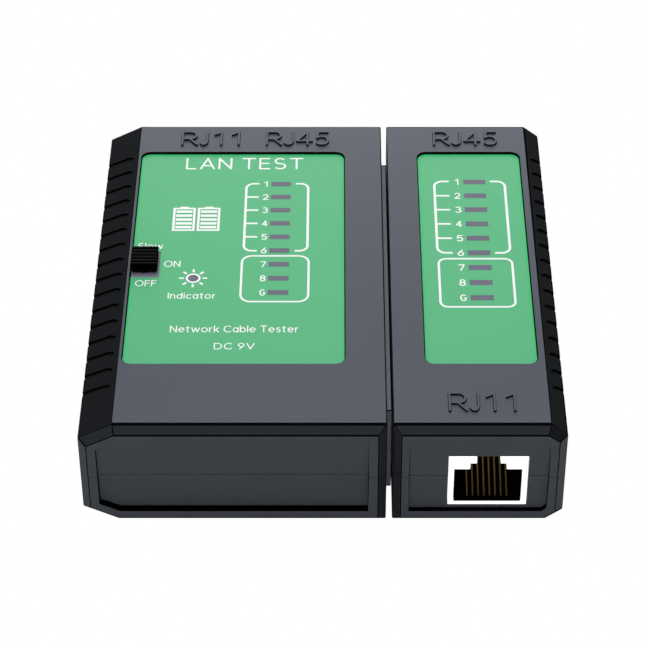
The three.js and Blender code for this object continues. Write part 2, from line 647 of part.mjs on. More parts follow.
function battery() {
  const { x0, x1, y, z, width, height, corner } = BATTERY;
  const shape = roundedRectangle(y - width / 2, y + width / 2, z - height / 2, z + height / 2, corner);
  const geometry = extruded(shape, x1 - x0);
  geometry.applyMatrix4(new THREE.Matrix4().makeBasis(
    new THREE.Vector3(0, 1, 0), new THREE.Vector3(0, 0, 1), new THREE.Vector3(1, 0, 0)));
  geometry.translate(x0, 0, 0);
  return join([
    solid(geometry),
    ...STUDS.map((one) => stud(y + one.y, one.radius, x1 - 0.2, STUD_END)),
  ]);
}

function snapConnector() {
  const { y, z, x1 } = BATTERY;
  const { gap, thick, halfWidth, halfHeight } = SNAP;
  const face = x1 + gap;
  const plate = box(face, face + thick, y - halfWidth, y + halfWidth, z - halfHeight, z + halfHeight);
  return cut(plate, STUDS.map((one) => stud(y + one.y, one.hole, x1, STUD_END + gap)));
}

function lead(points) {
  const path = new THREE.CatmullRomCurve3(points.map(([x, y, z]) => new THREE.Vector3(x, y, z)));
  const section = new THREE.Shape();
  section.absarc(0, 0, 0.7, 0, Math.PI * 2);
  return solid(new THREE.ExtrudeGeometry(section, { steps: 14, extrudePath: path, curveSegments: 4 }));
}

// each lead leaves the connector's end, passes the notch in the bay wall and rises to the board
const LEAD_START = BATTERY.y + 13;
const RED_LEAD = [
  [8.9, LEAD_START, 11.2], [8.9, -17.6, 11.2], [7, -14.8, 12], [3, -13.8, 14.2], [2, -13.6, 17.7],
];
const BLACK_LEAD = [
  [8.9, LEAD_START, 8.4], [8.9, -17.6, 8.4], [5, -15.2, 9.4], [-0.8, -13.8, 13], [-2, -13.6, 17.7],
];

function buildPower() {
  place('battery', battery(), BATTERY_JACKET);
  place('battery_snap_connector', snapConnector(), BLACK);
  place('battery_lead_red', lead(RED_LEAD), RED);
  place('battery_lead_black', lead(BLACK_LEAD), BLACK);
  place('battery_door', batteryDoor(), SHELL);
}

// ---------------------------------------------------------------- boards, lights, switch and chips
const MAIN_BOARD = { x0: -44.3, x1: 10.2, y0: -16.9, y1: 46.2 };
const REMOTE_BOARD = { x0: 18.8, x1: 44.6, y0: -46.2, y1: 46.2 };
function board({ x0, x1, y0, y1 }, bosses) {
  const plate = box(x0, x1, y0, y1, BOARD.low, BOARD.high);
  return cut(plate, columns(bosses, BOSS.high + 0.3, BOARD.low - EXTRA, BOARD.high + EXTRA));
}

function ledBlock({ x, y, scale }) {
  const part = (size, grow, z0, z1) => box(
    x - (size.x * grow) / 2, x + (size.x * grow) / 2,
    y - (size.y * Math.sqrt(grow)) / 2, y + (size.y * Math.sqrt(grow)) / 2, z0, z1);
  return join([
    part(LED.base, 1, BOARD.high + STANDOFF, ROOF - TOP_CLEARANCE),
    part(LED.tip, scale, ROOF - 2 * TOP_CLEARANCE, LED.top),
  ]);
}

function roundLed() {
  const profile = [
    [0, BOARD.high + 0.1], [1.6, BOARD.high + 0.1], [1.6, BOARD.high + 1], [1.3, BOARD.high + 1],
    [1.3, ROOF - 0.2], [0.95, ROOF - 0.2], [0.95, LED.top - 0.25], [0.6, LED.top - 0.05], [0, LED.top],
  ];
  const points = profile.map(([r, z]) => new THREE.Vector2(r, z));
  const geometry = new THREE.LatheGeometry(points, 20);
  geometry.rotateX(Math.PI / 2);
  geometry.translate(INDICATOR.x, INDICATOR.y, 0);
  return solid(geometry);
}

// dual in-line chip hanging under the board, legs up
const CHIP = {
  halfWidth: 3.2, height: 3.3, lift: 0.5, legPitch: 2.54, legReach: 0.6, legHalf: 0.25, legDrop: 2.3,
};
function chip(x, y, length, legs) {
  const top = BOARD.low - STANDOFF;
  const { halfWidth, height, lift, legPitch, legReach, legHalf, legDrop } = CHIP;
  const body = box(
    x - length / 2, x + length / 2, y - halfWidth, y + halfWidth, top - height - lift, top - lift);
  const row = Array.from({ length: legs / 2 }, (_, i) => x + (i - (legs / 2 - 1) / 2) * legPitch);
  const pins = row.flatMap((px) => [-1, 1].map((side) => {
    const edge = y + side * halfWidth;
    return box(px - legHalf, px + legHalf, edge - legReach, edge + legReach, top - legDrop, top);
  }));
  return join([body, ...pins]);
}

const PLATFORM = LABEL_TOP - 0.2;
const SWITCH = { play: 0.08, wider: 0.2, halfLength: 6.3, stemPlay: 0.15 };
function switchBody() {
  const y = (SLOT.y0 + SLOT.y1) / 2;
  const { play, wider, halfLength } = SWITCH;
  const base = box(
    SLOT.x0 - wider, SLOT.x1 + wider, y - halfLength, y + halfLength,
    BOARD.high + STANDOFF, ROOF - TOP_CLEARANCE);
  const platform = box(
    SLOT.x0 + play, SLOT.x1 - play, SLOT.y0 + play, SLOT.y1 - play, ROOF - 2 * TOP_CLEARANCE, PLATFORM);
  const reach = STEM.length / 2 + STEM.travel + SWITCH.play;
  const half = STEM.width / 2 + SWITCH.stemPlay;
  const track = box(
    KNOB.x - half, KNOB.x + half, KNOB.y - reach, KNOB.y + reach, ROOF - 2, PLATFORM + EXTRA);
  return join([base, platform]).subtract(track);
}

function switchKnob() {
  const { x, y, width, length, low, high, ridges } = KNOB;
  const cap = box(x - width / 2, x + width / 2, y - length / 2, y + length / 2, low, high);
  const stem = box(
    x - STEM.width / 2, x + STEM.width / 2, y - STEM.length / 2, y + STEM.length / 2,
    ROOF - 1.8, low + 0.1);
  const pitch = length / ridges;
  const grooves = Array.from({ length: ridges }, (_, i) => {
    const middle = y - length / 2 + (i + 0.5) * pitch;
    const notch = [[middle - RIDGE.half, high + EXTRA / 10], [middle, high - RIDGE.depth]];
    notch.push([middle + RIDGE.half, high + EXTRA / 10]);
    return alongX(notch, x - width, x + width);
  });
  return cut(join([cap, stem]), grooves);
}

function buildElectronics() {
  place('main_circuit_board', board(MAIN_BOARD, SCREWS.main), BOARD_GREEN);
  place('remote_circuit_board', board(REMOTE_BOARD, SCREWS.remote), BOARD_GREEN);
  for (const led of ledPlaces(MAIN_LEDS)) place(`main_led_${led.name}`, ledBlock(led), LENS);
  for (const led of ledPlaces(REMOTE_LEDS)) place(`remote_led_${led.name}`, ledBlock(led), LENS);
  place('power_led', roundLed(), LENS);
  place('counter_chip', chip(-27, 12, 19.3, 16), BLACK);
  place('timer_chip', chip(-27, -5, 9.8, 8), BLACK);
  place('switch_body', switchBody(), LENS);
  place('switch_knob', switchKnob(), BLACK);
}

// ---------------------------------------------------------------- assembly
buildShells();
buildPower();
buildElectronics();
buildJacks();
buildScrews();

export default tester;
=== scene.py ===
# %% [markdown]
# # A two-piece network cable tester
# The tester is two moulded boxes. The main unit holds a 9 V battery, a slide switch and a row of lights,
# and the remote unit parks on a rail at its side. The CAD frame already has every shape that matters for
# fit and motion, so this lesson adds what the eye needs: softened edges, printed labels, raised letters,
# ridges, spring wires, and a finish for each material.

from math import cos, pi, radians, sin

import bmesh
import bpy
import numpy as np
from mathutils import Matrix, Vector


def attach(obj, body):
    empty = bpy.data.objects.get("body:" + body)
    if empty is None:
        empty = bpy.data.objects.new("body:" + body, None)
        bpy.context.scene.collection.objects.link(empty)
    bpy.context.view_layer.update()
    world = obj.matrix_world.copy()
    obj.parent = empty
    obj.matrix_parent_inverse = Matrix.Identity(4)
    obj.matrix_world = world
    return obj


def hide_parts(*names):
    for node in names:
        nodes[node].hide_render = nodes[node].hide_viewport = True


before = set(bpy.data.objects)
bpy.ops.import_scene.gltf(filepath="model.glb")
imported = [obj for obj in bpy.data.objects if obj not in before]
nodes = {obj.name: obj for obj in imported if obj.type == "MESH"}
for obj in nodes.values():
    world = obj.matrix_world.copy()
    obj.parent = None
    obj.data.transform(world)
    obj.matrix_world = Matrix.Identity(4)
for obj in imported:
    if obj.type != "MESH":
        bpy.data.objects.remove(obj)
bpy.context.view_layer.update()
MM = 0.001

# %% [markdown]
# ## Camera
# A long lens from well above the front edge keeps the sides nearly parallel, as in a catalogue picture.
# The distance and the height angle fix how much the back of the boxes shrinks. The small sideways shift
# of the frame puts the tester left of the lens axis without turning the camera.

# %% The camera
AIM = Vector((2.826, -3.5, 12.66)) * MM
DISTANCE = 520.4 * MM
RISE = radians(40.338)
LENS = 139.4
SHIFT = -0.0231
camera_data = bpy.data.cameras.new("camera")
camera_data.lens = LENS
camera_data.shift_x = SHIFT
camera = bpy.data.objects.new("camera", camera_data)
camera.location = AIM + DISTANCE * Vector((0, -cos(RISE), sin(RISE)))
camera.rotation_euler = (pi / 2 - RISE, 0, 0)
bpy.context.scene.collection.objects.link(camera)
bpy.context.scene.camera = camera
bpy.context.scene.view_settings.view_transform = "Standard"
print("camera at", [round(v / MM) for v in camera.location], "mm")

# %% [markdown]
# ## Colour and node helpers
# Colours are written as the hex values that a screen shows, and one function turns them into the linear
# light that the renderer works in. One more function adds a node, sets it and links it.


# %% Two helpers for every material
def linear(hex_colour):
    """Screen colour to linear light: c / 12.92 below 0.04045, otherwise ((c + 0.055) / 1.055) ^ 2.4."""
    c = np.array([int(hex_colour[i : i + 2], 16) for i in (1, 3, 5)]) / 255
    light = np.where(c <= 0.04045, c / 12.92, ((c + 0.055) / 1.055) ** 2.4)
    return (*light.tolist(), 1.0)


def add(tree, kind, inputs=None, **settings):
    """Adds one node; an input is a value, or another node's output to link."""
    node = tree.nodes.new("ShaderNode" + kind)
    for name, value in settings.items():
        setattr(node, name, value)
    for socket, value in (inputs or {}).items():
        if isinstance(value, bpy.types.NodeSocket):
            tree.links.new(value, node.inputs[socket])
        else:
            node.inputs[socket].default_value = value
    return node


# %% [markdown]
# ## Floor and light
# A catalogue picture is cut out on pure white, while the object is lit softly from above and behind.
# Both are had at once by telling camera rays from all others: the camera sees white paper and a white
# wall, and the object sees grey paper and a dim wall, so its front stays darker than its top. The paper
# can be seen through from below, so the underside can be looked at too.

# %% Paper, wall and lamps
WHITE = (1.0, 1.0, 1.0, 1.0)
ROOM_LIGHT = 0.26
PAPER_GREY = "#bcbcbc"

paper = bpy.data.materials.new("white_paper_sweep")
paper.use_nodes = True
tree = paper.node_tree
tree.nodes.clear()
seen = add(tree, "LightPath").outputs["Is Camera Ray"]
matt = add(tree, "BsdfDiffuse", {"Color": linear(PAPER_GREY)}).outputs[0]
bright = add(tree, "Emission", {"Color": WHITE}).outputs[0]
paper_top = add(tree, "MixShader", {0: seen, 1: matt, 2: bright}).outputs[0]
under = add(tree, "NewGeometry").outputs["Backfacing"]
nothing = add(tree, "BsdfTransparent").outputs[0]
surface = add(tree, "MixShader", {0: under, 1: paper_top, 2: nothing}).outputs[0]
add(tree, "OutputMaterial", {"Surface": surface})

FLOOR_SIZE = 6.0
FLOOR_GAP = 0.05 * MM
corners = np.array([(-1, -1, 0), (1, -1, 0), (1, 1, 0), (-1, 1, 0)]) * FLOOR_SIZE / 2
corners[:, 2] = -FLOOR_GAP
floor_mesh = bpy.data.meshes.new("floor")
floor_mesh.from_pydata(corners.tolist(), [], [(0, 1, 2, 3)])
floor_mesh.materials.append(paper)
floor = bpy.data.objects.new("floor", floor_mesh)
bpy.context.scene.collection.objects.link(floor)

world = bpy.data.worlds.new("white_studio")
world.use_nodes = True
tree = world.node_tree
tree.nodes.clear()
seen = add(tree, "LightPath").outputs["Is Camera Ray"]
strength = add(tree, "MapRange", {"Value": seen, "To Min": ROOM_LIGHT, "To Max": 1.0}).outputs[0]
wall = add(tree, "Background", {"Color": WHITE, "Strength": strength}).outputs[0]
add(tree, "OutputWorld", {"Surface": wall})
bpy.context.scene.world = world


def soft_lamp(name, place, size, power):
    """A square lamp at `place`, in metres, that faces the object."""
    data = bpy.data.lights.new(name, "AREA")
    data.size = size
    data.energy = power
    lamp = bpy.data.objects.new(name, data)
    lamp.location = place
    lamp.rotation_euler = (AIM - Vector(place)).to_track_quat("-Z", "Y").to_euler()
    bpy.context.scene.collection.objects.link(lamp)


soft_lamp("overhead_lamp", (0.0, 0.16, 0.7), 0.5, 4.0)
soft_lamp("rear_lamp", (0.0, 0.6, 0.2), 0.38, 1.1)
soft_lamp("front_lamp", (0.0, -1.1, 0.03), 0.5, 4.6)
print("floor, wall and lamps are in place")

# %% [markdown]
# ## Moulded finishes
# Nearly everything here is injection moulded. The steel mould is spark eroded, which leaves a fine matt
# grain on the plastic, and the colour drifts a little where the melt flowed. One function makes any such
# finish: a fine noise drives the bump and the roughness, and a broad noise shifts the colour.


# %% The moulded finish
FLOW_WIDTH = 7.0
UNEVEN = 0.06


def moulded(
    name, colour, roughness=0.5, specular=0.5, grain=0.35, depth=0.006, drift=0.05, glow=0.0, metal=0.0
):
    """Plastic, rubber or metal with a grain `grain` mm wide and `depth` mm deep; `drift` is how far the
    colour wanders to each side, as a fraction, in patches FLOW_WIDTH mm wide. The roughness wanders by
    UNEVEN."""
    material = bpy.data.materials.new(name)
    material.use_nodes = True
    tree = material.node_tree
    tree.nodes.clear()
    here = add(tree, "TexCoord").outputs["Object"]
    noise = {"Vector": here, "Scale": 1 / (grain * MM), "Detail": 2.0}
    fine = add(tree, "TexNoise", noise).outputs[0]
    noise = {"Vector": here, "Scale": 1 / (FLOW_WIDTH * MM), "Detail": 1.0}
    broad = add(tree, "TexNoise", noise).outputs[0]
    base = np.array(linear(colour)[:3])
    darker, paler = ((*(base * (1 + change)), 1) for change in (-drift, drift))
    tint = add(tree, "Mix", {0: broad, 6: darker, 7: paler}, data_type="RGBA")
    uneven = {"Value": fine, "To Min": roughness - UNEVEN, "To Max": roughness + UNEVEN}
    matt = add(tree, "MapRange", uneven)
    bump = add(tree, "Bump", {"Height": fine, "Distance": depth * MM})
    shader = add(
        tree,
        "BsdfPrincipled",
        {
            "Base Color": tint.outputs[2],
            "Roughness": matt.outputs[0],
            "Normal": bump.outputs[0],
            "Metallic": metal,
            "Specular IOR Level": specular,
            "Emission Strength": glow,
            "Emission Color": linear(colour),
        },
    )
    add(tree, "OutputMaterial", {"Surface": shader.outputs[0]})
    return material


FINISH = {
    # dark grey ABS with a spark-eroded mould finish: matt, with a soft sheen at low angles. The nine
    # finishes whose names start with case are all this one plastic. The darker and paler ones are painted
    # shade and painted light, which they hold whatever the lamps do.
    "case": moulded("spark_eroded_dark_grey_abs", "#3a404d", 0.34, 0.5),
    # the end faces and the facets round them, with less sheen than the top: copies of the same plastic
    # whose colour and sheen are painted shading, the facets painted darker
    "case_end": moulded("spark_eroded_abs_end", "#494d54", 0.55, 0.2),
    "case_facet": moulded("abs_facet_painted_shade", "#2b2e32", 0.5, 0.1, drift=0.02),
    # the small radius along every outer edge, painted nearly black as a dark reflection, so that it reads
    # as a drawn line
    "case_edge": moulded("abs_radius_painted_reflection", "#080808", 0.7, 0.0, drift=0.0),
    # the leaning walls of the raised words, and the small corner facets that look away from the lamps, both
    # painted dark as their shade
    "case_wall": moulded("abs_letter_wall", "#1b1d20", 0.7, 0.0, drift=0.0),
    "case_corner": moulded("abs_corner_facet", "#1a1c1f", 0.6, 0.05, drift=0.0),
    # the walls of the sunk panels and of the label recesses, painted near black as their shade
    "case_recess": moulded("abs_in_recess", "#0a0a0b", 0.7, 0.0, drift=0.0),
    # the rail and its front end, deep in the gap between the units, painted paler as light that the gap
    # keeps from them
    "case_rail": moulded("abs_rail_painted_light", "#585c63", 0.45, 0.5),
    "case_rail_end": moulded("abs_rail_end_painted_light", "#9a9fa8", 0.5, 0.4),
    # thermoplastic rubber moulded over the sides: black, soft and almost without shine
    "rubber": moulded("matt_black_tpe", "#15171a", 0.85, 0.08, grain=0.5, depth=0.012),
    # the walls of the grooves and the rounded corners of the grips, painted near black as their shade
    "rubber_groove": moulded("tpe_in_groove", "#0a0a0a", 0.9, 0.0, drift=0.0),
    # polycarbonate overlay, printed green from behind with a fine velvet front
    "overlay": moulded(
        "velvet_polycarbonate_green", "#4bb178", 0.34, 0.45, grain=0.2, depth=0.002, drift=0.02
    ),
    # the edge of that print, where the green is laid thicker and comes out stronger
    "overlay_rim": moulded("thick_green_print", "#25c06a", 0.4, 0.3, drift=0.0),
    # screen printed white ink, laid thick
    "ink": moulded("white_screen_ink", "#f6f6f4", 0.6, 0.3, grain=0.15, depth=0.002, drift=0.01),
    # smoked light windows: milky epoxy that looks mauve grey when it is off
    "window": moulded("unlit_epoxy_lens", "#5f5c70", 0.34, 0.45, grain=0.6, depth=0.002),
    # the shutter under the knob, the same smoked plastic painted paler to offset the knob's shade: painted
    # light
    "shutter": moulded("smoked_shutter_painted_light", "#7b778d", 0.5, 0.4, grain=0.6, depth=0.002),
    "knob": moulded("black_nylon_knob", "#040404", 0.7, 0.0, grain=0.3, depth=0.004),
    # the crests of the ridges, painted paler as a highlight
    "knob_crest": moulded("nylon_crest_painted_highlight", "#151517", 0.6, 0.08, grain=0.3, depth=0.004),
    # glossy white polyester of the socket bodies, with some light of its own so that it stays pure white
    "socket": moulded(
        "white_pbt_socket", "#f6f6f4", 0.35, 0.4, grain=0.25, depth=0.002, drift=0.01, glow=0.85
    ),
    "liner": moulded("black_pbt_liner", "#030303", 0.7, 0.0, drift=0.0),
    # the gold is painted darker as the shade inside the sockets
    "gold": moulded("gold_plated_bronze_painted_shade", "#5e4b2c", 0.5, 0.5, grain=0.1, depth=0.001, metal=1.0),
    "steel": moulded("zinc_plated_steel", "#b4b6ba", 0.35, 0.5, grain=0.2, depth=0.002, metal=1.0),
    "board": moulded("green_solder_mask", "#1d6638", 0.35, 0.5, grain=0.6, depth=0.004),
    "chip": moulded("black_epoxy_package", "#141415", 0.55, 0.3),
    "jacket": moulded("lacquered_steel_can", "#23262b", 0.3, 0.5, grain=0.8, depth=0.002),
    "snap": moulded("black_vinyl_snap_pad", "#0c0c0d", 0.6, 0.3),
    "red_lead": moulded("red_pvc_insulation", "#a51717", 0.4, 0.5),
    "black_lead": moulded("black_pvc_insulation", "#101011", 0.4, 0.4),
}
print(len(FINISH), "finishes")

# %% [markdown]
# ## Softened copies of the moulded parts
# A CAD solid arrives as loose triangles with knife edges. No moulded part has those: the tool leaves a
# radius of a few tenths of a millimetre, and that radius, painted near black as a dark reflection, draws
# the outline of the object. The corners are welded, flat neighbours are joined into one face, and then the
# Bevel modifier rounds only the edges that a hand could touch, by a weight on each edge.


# %% Weld a CAD node
def welded(node):
    """A new mesh of a CAD node, with shared corners and one face for each flat area."""
    mesh = nodes[node].data.copy()
    work = bmesh.new()
    work.from_mesh(mesh)
    bmesh.ops.remove_doubles(work, verts=work.verts, dist=0.001 * MM)
    bmesh.ops.dissolve_limit(work, angle_limit=radians(0.4), verts=work.verts, edges=work.edges)
    work.to_mesh(mesh)
    work.free()
    mesh.materials.clear()
    return mesh


# %% Read a mesh as arrays
def read(collection, name, width, kind=float):
    values = np.empty(len(collection) * width, kind)
    collection.foreach_get(name, values)
    return values.reshape(-1, width) if width > 1 else values


def edge_facts(mesh):
    """Both ends of each edge in mm, the bend between its two faces in degrees, and whether it is convex.
    With n1 and n2 the normals and d the way that face 1 runs along the edge, it is convex where
    (n1 x n2) . d is positive."""
    corners = read(mesh.vertices, "co", 3) / MM
    edge_of = read(mesh.loops, "edge_index", 1, int)
    corner_of = read(mesh.loops, "vertex_index", 1, int)
    start = read(mesh.polygons, "loop_start", 1, int)
    total = read(mesh.polygons, "loop_total", 1, int)
    face_of = np.repeat(np.arange(len(total)), total)
    following = np.arange(len(edge_of)) + 1
    following[start + total - 1] = start
    order = np.argsort(edge_of, kind="stable")
    one, two = order[0::2], order[1::2]
    normal = read(mesh.polygons, "normal", 3)
    n1, n2 = normal[face_of[one]], normal[face_of[two]]
    way = corners[corner_of[following[one]]] - corners[corner_of[one]]
    bend = np.degrees(np.arccos(np.clip((n1 * n2).sum(1), -1, 1)))
    ends = corners[read(mesh.edges, "vertices", 2, int)]
    return ends, bend, (np.cross(n1, n2) * way).sum(1) > 0


# %% Make the softened copy
def softened(node, body, finishes, weigh, paint=None, radius=0.25, segments=3):
    """A copy of a CAD node with the edges rounded that `weigh` picks and the faces finished that `paint`
    picks. The last finish goes to the rounded edges."""
    mesh = welded(node)
    for name in finishes:
        mesh.materials.append(FINISH[name])
    weights = mesh.attributes.new("bevel_weight_edge", "FLOAT", "EDGE")
    weights.data.foreach_set("value", weigh(*edge_facts(mesh)).astype(np.float32))
    if paint:
        centre = read(mesh.polygons, "center", 3) / MM
        index = paint(centre, read(mesh.polygons, "normal", 3))
    else:
        index = np.zeros(len(mesh.polygons), int)
    mesh.polygons.foreach_set("material_index", index.astype(np.int32))
    piece = bpy.data.objects.new("soft_" + node, mesh)
    bpy.context.scene.collection.objects.link(piece)
    bevel = piece.modifiers.new("moulded_radius", "BEVEL")
    bevel.limit_method = "WEIGHT"
    bevel.width = radius * MM
    bevel.segments = segments
    bevel.material = len(finishes) - 1
    bevel.use_clamp_overlap = False
    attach(piece, body)
    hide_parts(node)
    return piece


# %% [markdown]
# ## The two cases
# Each case is a top and a bottom shell. Only the outside edges are rounded. The joint between the shells
# gets a much finer radius, so it shows as a thin line round the middle.

# %% Sizes that the shells share, in mm
HEIGHT = 25.3
HALF = 50.0
MAIN_RIGHT = 12.4
REMOTE_LEFT = 13.6
RAIL_OUT = 13.45
CAVITY_END = 46.6
END_START = 48.2
ROOF = 23.0
FLOOR_WALL = 2.0
JOINT_LINE = 12.6
LABEL_FLOOR = 24.3
LABEL_TOP = 24.75
GRIP_EDGE = -40.3
REMOTE_CORNER = 43.0
PANEL_Z = (3.5, 21.8)
PANELS_X = ((-43.8, 8.9), (16.7, 43.9))
LABEL_Y = (-30.85, 38.95)
LABEL_X = {"main": (-39.68, 4.3), "remote": (20.2, 42.35)}


def in_label(points, grow):
    """Which points lie over one of the two label recesses, seen from above."""
    x, y = points[..., 0], points[..., 1]
    over = np.zeros(x.shape, bool)
    for low, high in LABEL_X.values():
        over |= (x > low - grow) & (x < high + grow)
    return over & (y > LABEL_Y[0] - grow) & (y < LABEL_Y[1] + grow)


def shell_weights(ends, bend, convex):
    """1 on outside edges, less at the joint line, 0 inside the case, under the labels and in the panels."""
    x, y, z = ends[..., 0], ends[..., 1], ends[..., 2]
    outside = (z > ROOF + 0.05) | (z < FLOOR_WALL - 0.05) | (np.abs(y) > CAVITY_END + 0.05)
    outside |= (x > MAIN_RIGHT - 0.01) & (x < REMOTE_LEFT + 0.01)
    under_label = in_label(ends, 0.1) & (z > ROOF) & (z < HEIGHT - 0.05)
    seen = (outside & ~under_label).all(1) & convex & (bend > 12)
    in_panel = ((z > PANEL_Z[0] - 0.01) & (z < PANEL_Z[1] + 0.01) & (np.abs(y) > CAVITY_END)).all(1)
    in_panel &= np.any([((x > low) & (x < high)).all(1) for low, high in PANELS_X], axis=0)
    at_joint = (np.abs(z - JOINT_LINE) < 0.1).all(1)
    upright = np.abs(z[:, 1] - z[:, 0]) > 1.5
    at_top = (z > HEIGHT - 0.01).all(1)
    kinds = [
        (at_joint, 0.08),
        (in_panel, np.where(upright, 0.35, 0.0)),
        (at_top & in_label(ends, 0.1).all(1), 0.45),
        (at_top & (x < GRIP_EDGE).all(1), 0.0),
        (at_top & (y > HALF - 2).all(1), 0.5),
        (at_top, 1.0),
        (upright, 0.35),
    ]
    tests, weights = zip(*kinds)
    return np.where(seen, np.select(tests, weights, 0.6), 0.0)


def shell_faces(centre, normal):
    """The finish of each face, as its place in CASE_FINISHES."""
    x, y, z = centre.T
    end = np.abs(y) > END_START
    in_panel = end & (np.abs(y) < HALF - 0.01) & (z > PANEL_Z[0] - 0.1) & (z < PANEL_Z[1] + 0.1)
    ledge = in_panel & (normal[:, 2] > 0.9) & (z < 10)
    slope = in_panel & (normal[:, 2] > 0.3) & (z < 10)
    cheek = in_panel & (np.abs(normal[:, 0]) > 0.9)
    label_wall = in_label(centre, 0.1) & (z > LABEL_FLOOR) & (np.abs(normal[:, 2]) < 0.3)
    facet = end & (normal[:, 2] > 0.3) & (np.abs(normal[:, 1]) > 0.3) & (z > PANEL_Z[1])
    facet |= end & (np.abs(normal[:, 0]) > 0.3) & (x > MAIN_RIGHT - 2) & (x < REMOTE_LEFT + 2)
    rail = (x > MAIN_RIGHT + 0.05) & (x < RAIL_OUT - 0.05) & (np.abs(normal[:, 0]) < 0.5)
    corner = facet & (x > REMOTE_CORNER) & (normal[:, 0] > 0.3)
    rail_end = rail & (normal[:, 1] < -0.5)
    flat_end = end & (np.abs(normal[:, 1]) > 0.3)
    # the recess walls, the corner and the facets take painted shade, the rail and its front painted light,
    # and the end faces their painted shading
    kinds = [ledge | slope | cheek | label_wall, corner, facet, rail_end, rail, flat_end]
    return np.select(kinds, [3, 5, 2, 6, 4, 1], 0)


# the last finish, which goes to the rounded edges, is painted near black as a dark reflection
CASE_FINISHES = [
    "case", "case_end", "case_facet", "case_recess", "case_rail", "case_corner", "case_rail_end",
    "case_edge",
]
for unit in ("main", "remote"):
    for half in ("top", "bottom"):
        softened(
            f"{unit}_{half}_shell", f"{unit}_unit", CASE_FINISHES, shell_weights, shell_faces,
            radius=0.34,
        )
print("shells softened")

# %% [markdown]
# ## Rubber grips
# The black rubber covers both slanted corners and the outer side of each case. Hooked grooves run across
# it for the fingers. The grooves' walls take a darker finish, which stands for their own shade.


# %% Grips
def grip_weights(ends, bend, convex):
    """On the long corners that run front to back: 1 on the remote, less on the main unit."""
    run = np.abs(ends[:, 1] - ends[:, 0])
    long_way = (run[:, 1] > 2) & (run[:, 0] < 0.01) & (run[:, 2] < 0.01)
    near = np.where(ends[:, 0, 0] < 0, 0.3, 1.0)
    return np.where(long_way & convex & (bend > 15), near, 0.0)


def grip_faces(centre, normal):
    """1 for the walls of the grooves, which face the front or the back, short of the grip's ends."""
    return ((np.abs(normal[:, 1]) > 0.6) & (np.abs(centre[:, 1]) < END_START)).astype(int)


for unit in ("main", "remote"):
    softened(
        f"{unit}_side_grip", f"{unit}_unit", ["rubber", "rubber_groove", "rubber_groove"],
        grip_weights, grip_faces, radius=0.45,
    )
print("grips softened")


# %% [markdown]
# ## Overlays and light windows
# Each label is a sheet of polycarbonate in a recess. The sheet keeps the CAD's shape. The windows in
# front of the lights are small blocks of milky epoxy with slightly rounded edges.


# %% Overlays
def refinished(node, finish):
    """A CAD node that keeps its shape and only takes a finish."""
    nodes[node].data.materials.clear()
    nodes[node].data.materials.append(FINISH[finish])


for unit in ("main", "remote"):
    refinished(f"{unit}_label_panel", "overlay")


# %% Light windows
def all_sharp(ends, bend, convex):
    """1 on every convex edge that bends by more than 40 degrees."""
    return np.where(convex & (bend > 40), 1.0, 0.0)


LIGHTS = [f"{unit}_led_{n}" for unit in ("main", "remote") for n in "12345678g"]
for light in LIGHTS:
    softened(light, light.split("_")[0] + "_unit", ["window", "window"], all_sharp, radius=0.08)
softened("power_led", "main_unit", ["window", "window"], all_sharp, radius=0.08)
softened("switch_body", "main_unit", ["shutter", "shutter"], all_sharp, radius=0.06)
print("overlays and", len(LIGHTS) + 1, "lights softened")

# %% [markdown]
# ## Surfaces from arrays
# The remaining pieces are profiles carried along a path. At each point of the path the profile's first
# number runs sideways and its second along a fixed direction, so a printed line, a spring wire and a
# ridged knob all come from the same function. It works on whole arrays, and turns the faces over if the
# enclosed volume comes out negative, so that they always point outwards.


# %% Carry a profile along a path
def carried(path, profile, across, closed=False):
    """Points: path + u * side + v * across, where side = across x travel and (u, v) is the profile.
    Gives the points in mm and a list of face arrays: quads between neighbouring rings, and end caps."""
    path, profile, across = np.asarray(path, float), np.asarray(profile, float), np.asarray(across, float)
    if closed:
        travel = np.roll(path, -1, 0) - np.roll(path, 1, 0)
    else:
        travel = np.gradient(path, axis=0)
    side = np.cross(across, travel)
    side /= np.linalg.norm(side, axis=1, keepdims=True)
    points = path[:, None] + profile[None, :, :1] * side[:, None] + profile[None, :, 1:] * across
    rings, around = points.shape[:2]
    i, j = np.meshgrid(np.arange(rings if closed else rings - 1), np.arange(around), indexing="ij")
    nxt_i, nxt_j = (i + 1) % rings, (j + 1) % around
    quads = np.stack([i * around + j, nxt_i * around + j, nxt_i * around + nxt_j, i * around + nxt_j], -1)
    faces = [quads.reshape(-1, 4)]
    points = points.reshape(-1, 3)
    a, b, c, d = (points[faces[0][:, k]] for k in range(4))
    volume = (np.cross(a, b) * c).sum() + (np.cross(a, c) * d).sum()
    if not closed:
        first = np.arange(around)
        for cap in (first, (first + (rings - 1) * around)[::-1]):
            p = points[cap]
            volume += (np.cross(p[0], p[1:-1]) * p[2:]).sum()
            faces.append(cap[None])
    return points, [block[:, ::-1] for block in faces] if volume < 0 else faces


def rounded_path(corners, radius, steps=8, closed=False):
    """Straight lines whose right-angled corners become quarter circles: for a corner p between unit
    directions a and b, the arc is p - r a + r b - r b cos t + r a sin t."""
    corners = np.asarray(corners, float)
    turn = np.linspace(0, pi / 2, steps)[:, None]
    count = len(corners)
    inner = range(count) if closed else range(1, count - 1)
    pieces = [] if closed else [corners[:1]]
    for k in inner:
        p = corners[k]
        a = p - corners[k - 1]
        b = corners[(k + 1) % count] - p
        a, b = a / np.linalg.norm(a), b / np.linalg.norm(b)
        pieces.append(p - radius * a + radius * b - radius * b * np.cos(turn) + radius * a * np.sin(turn))
    if not closed:
        pieces.append(corners[-1:])
    return np.concatenate(pieces)


